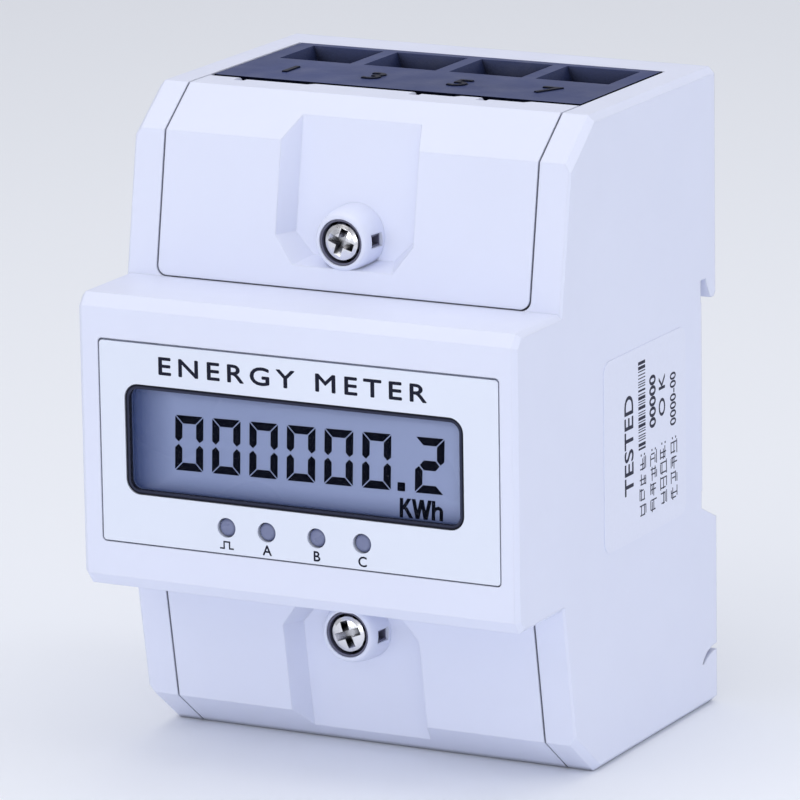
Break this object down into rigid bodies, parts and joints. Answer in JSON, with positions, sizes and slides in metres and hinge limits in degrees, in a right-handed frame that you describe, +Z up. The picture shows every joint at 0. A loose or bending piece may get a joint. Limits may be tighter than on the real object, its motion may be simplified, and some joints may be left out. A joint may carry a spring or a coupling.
{
  "type": "din rail energy meter",
  "caption": "DIN-rail electricity meter with stepped nose, display window, sealed hinged terminal covers, screw cage terminals and sliding rail latch.",
  "frame": {"origin": "centre of the face that rests on the top-hat rail", "axes": "+Z up along the height, -Y out of the display front, +Y towards the rail, +X to the right seen from the front"},
  "size_m": [0.0721, 0.0676, 0.0988],
  "materials": {
    "housing_plastic": "cool white, fine moulded grain",
    "base_plastic": "cool white, fine moulded grain",
    "cover_plastic": "cool white, fine moulded grain",
    "terminal_plastic": "charcoal, fine grain",
    "faceplate_plastic": "satin white",
    "window_clear": "clear plastic with a black printed border",
    "lcd_glass": "grey-blue liquid crystal cell",
    "light_guide": "milky light guide",
    "contact_rubber": "striped contact rubber",
    "led_lens": "grey diffused lens",
    "latch_plastic": "dark grey",
    "bright_nickel": "bright nickel plating",
    "dark_washer": "dark captive washer",
    "dark_cup": "dark moulded cup",
    "zinc_steel": "zinc plated steel",
    "clamp_steel": "zinc plated steel",
    "spring_steel": "drawn spring wire",
    "can_steel": "pressed metal can",
    "insert_brass": "turned brass",
    "busbar_copper": "bare copper strip",
    "transformer_casing": "blue moulded case",
    "transformer_core": "yellow tape over a steel core",
    "wire_sheath": "red and black insulated wire",
    "circuit_board": "green solder mask",
    "component_black": "black moulding compound",
    "capacitor_sleeve": "printed shrink sleeve",
    "varistor_coat": "blue dipped coating",
    "label_paper": "white printed label"
  },
  "bodies": {
    "body": {"main_housing": "housing_plastic", "rear_base": "base_plastic", "upper_terminal_block": "terminal_plastic", "lower_terminal_block": "terminal_plastic", "screw_inserts": "insert_brass", "phase_busbars": "busbar_copper", "neutral_busbar": "busbar_copper", "current_transformers": "transformer_casing", "ct_lead_wires": "wire_sheath", "main_board": "circuit_board", "display_board": "circuit_board", "board_header": "component_black", "power_capacitors": "capacitor_sleeve", "mains_transformer": "transformer_core", "varistors": "varistor_coat", "metering_chip": "component_black", "microcontroller": "component_black", "crystal": "can_steel", "optocoupler": "component_black", "lcd_glass": "lcd_glass", "lcd_backlight": "light_guide", "lcd_contact_strips": "contact_rubber", "lcd_bezel": "component_black", "indicator_leds": "led_lens", "faceplate": "faceplate_plastic", "display_window": "window_clear", "latch_spring": "spring_steel", "base_screws": "zinc_steel", "board_screws": "zinc_steel", "side_label": "label_paper"},
    "upper_cover": {"upper_terminal_cover": "cover_plastic", "upper_sealing_cup": "dark_cup"},
    "upper_washer": {"upper_screw_washer": "dark_washer"},
    "upper_screw": {"upper_cover_screw": "bright_nickel"},
    "lower_cover": {"lower_terminal_cover": "cover_plastic", "lower_sealing_cup": "dark_cup"},
    "lower_washer": {"lower_screw_washer": "dark_washer"},
    "lower_screw": {"lower_cover_screw": "bright_nickel"},
    "screw_1": {"terminal_screw_1": "zinc_steel"},
    "clamp_1": {"terminal_clamp_1": "clamp_steel"},
    "screw_2": {"terminal_screw_2": "zinc_steel"},
    "clamp_2": {"terminal_clamp_2": "clamp_steel"},
    "screw_3": {"terminal_screw_3": "zinc_steel"},
    "clamp_3": {"terminal_clamp_3": "clamp_steel"},
    "screw_4": {"terminal_screw_4": "zinc_steel"},
    "clamp_4": {"terminal_clamp_4": "clamp_steel"},
    "screw_5": {"terminal_screw_5": "zinc_steel"},
    "clamp_5": {"terminal_clamp_5": "clamp_steel"},
    "screw_6": {"terminal_screw_6": "zinc_steel"},
    "clamp_6": {"terminal_clamp_6": "clamp_steel"},
    "screw_7": {"terminal_screw_7": "zinc_steel"},
    "clamp_7": {"terminal_clamp_7": "clamp_steel"},
    "screw_8": {"terminal_screw_8": "zinc_steel"},
    "clamp_8": {"terminal_clamp_8": "clamp_steel"},
    "latch": {"din_latch": "latch_plastic"}
  },
  "joints": [
    {"name": "upper_cover_swing", "type": "hinge", "parent": "body", "child": "upper_cover", "pos_m": [0, -0.03075, 0.0482], "axis": [-1, 0, 0], "range_deg": [0, 80]},
    {"name": "upper_screw_feed", "type": "slide", "parent": "upper_cover", "child": "upper_washer", "axis": [0, 1, 0], "range_m": [0, 0.003]},
    {"name": "upper_screw_turn", "type": "hinge", "parent": "upper_washer", "child": "upper_screw", "pos_m": [0, -0.0455, 0.0297], "axis": [0, 1, 0], "range_deg": [0, 2161]},
    {"name": "lower_cover_swing", "type": "hinge", "parent": "body", "child": "lower_cover", "pos_m": [0, -0.03075, -0.0482], "axis": [1, 0, 0], "range_deg": [0, 80]},
    {"name": "lower_screw_feed", "type": "slide", "parent": "lower_cover", "child": "lower_washer", "axis": [0, 1, 0], "range_m": [0, 0.003]},
    {"name": "lower_screw_turn", "type": "hinge", "parent": "lower_washer", "child": "lower_screw", "pos_m": [0, -0.0455, -0.0297], "axis": [0, 1, 0], "range_deg": [0, 2161]},
    {"name": "terminal_1_turn", "type": "hinge", "parent": "body", "child": "screw_1", "pos_m": [-0.0216, -0.0256, 0.038], "axis": [0, 1, 0], "range_deg": [0, 2251]},
    {"name": "terminal_1_clamp", "type": "slide", "parent": "body", "child": "clamp_1", "axis": [0, -1, 0], "range_m": [0, 0.005]},
    {"name": "terminal_2_turn", "type": "hinge", "parent": "body", "child": "screw_2", "pos_m": [-0.0216, -0.0256, -0.038], "axis": [0, 1, 0], "range_deg": [0, 2251]},
    {"name": "terminal_2_clamp", "type": "slide", "parent": "body", "child": "clamp_2", "axis": [0, -1, 0], "range_m": [0, 0.005]},
    {"name": "terminal_3_turn", "type": "hinge", "parent": "body", "child": "screw_3", "pos_m": [-0.0072, -0.0256, 0.038], "axis": [0, 1, 0], "range_deg": [0, 2251]},
    {"name": "terminal_3_clamp", "type": "slide", "parent": "body", "child": "clamp_3", "axis": [0, -1, 0], "range_m": [0, 0.005]},
    {"name": "terminal_4_turn", "type": "hinge", "parent": "body", "child": "screw_4", "pos_m": [-0.0072, -0.0256, -0.038], "axis": [0, 1, 0], "range_deg": [0, 2251]},
    {"name": "terminal_4_clamp", "type": "slide", "parent": "body", "child": "clamp_4", "axis": [0, -1, 0], "range_m": [0, 0.005]},
    {"name": "terminal_5_turn", "type": "hinge", "parent": "body", "child": "screw_5", "pos_m": [0.0072, -0.0256, 0.038], "axis": [0, 1, 0], "range_deg": [0, 2251]},
    {"name": "terminal_5_clamp", "type": "slide", "parent": "body", "child": "clamp_5", "axis": [0, -1, 0], "range_m": [0, 0.005]},
    {"name": "terminal_6_turn", "type": "hinge", "parent": "body", "child": "screw_6", "pos_m": [0.0072, -0.0256, -0.038], "axis": [0, 1, 0], "range_deg": [0, 2251]},
    {"name": "terminal_6_clamp", "type": "slide", "parent": "body", "child": "clamp_6", "axis": [0, -1, 0], "range_m": [0, 0.005]},
    {"name": "terminal_7_turn", "type": "hinge", "parent": "body", "child": "screw_7", "pos_m": [0.0216, -0.0256, 0.038], "axis": [0, 1, 0], "range_deg": [0, 2251]},
    {"name": "terminal_7_clamp", "type": "slide", "parent": "body", "child": "clamp_7", "axis": [0, -1, 0], "range_m": [0, 0.005]},
    {"name": "terminal_8_turn", "type": "hinge", "parent": "body", "child": "screw_8", "pos_m": [0.0216, -0.0256, -0.038], "axis": [0, 1, 0], "range_deg": [0, 2251]},
    {"name": "terminal_8_clamp", "type": "slide", "parent": "body", "child": "clamp_8", "axis": [0, -1, 0], "range_m": [0, 0.005]},
    {"name": "latch_slide", "type": "slide", "parent": "body", "child": "latch", "axis": [0, 0, -1], "range_m": [0, 0.004], "stiffness_N_per_m": 900, "springref_m": -0.001, "deforming": ["latch_spring"]}
  ],
  "couplings": [
    {"joint": "upper_screw_turn", "follows": "upper_screw_feed", "rad_per_m": 12566},
    {"joint": "lower_screw_turn", "follows": "lower_screw_feed", "rad_per_m": 12566},
    {"joint": "terminal_1_turn", "follows": "terminal_1_clamp", "rad_per_m": 7854},
    {"joint": "terminal_2_turn", "follows": "terminal_2_clamp", "rad_per_m": 7854},
    {"joint": "terminal_3_turn", "follows": "terminal_3_clamp", "rad_per_m": 7854},
    {"joint": "terminal_4_turn", "follows": "terminal_4_clamp", "rad_per_m": 7854},
    {"joint": "terminal_5_turn", "follows": "terminal_5_clamp", "rad_per_m": 7854},
    {"joint": "terminal_6_turn", "follows": "terminal_6_clamp", "rad_per_m": 7854},
    {"joint": "terminal_7_turn", "follows": "terminal_7_clamp", "rad_per_m": 7854},
    {"joint": "terminal_8_turn", "follows": "terminal_8_clamp", "rad_per_m": 7854}
  ]
}
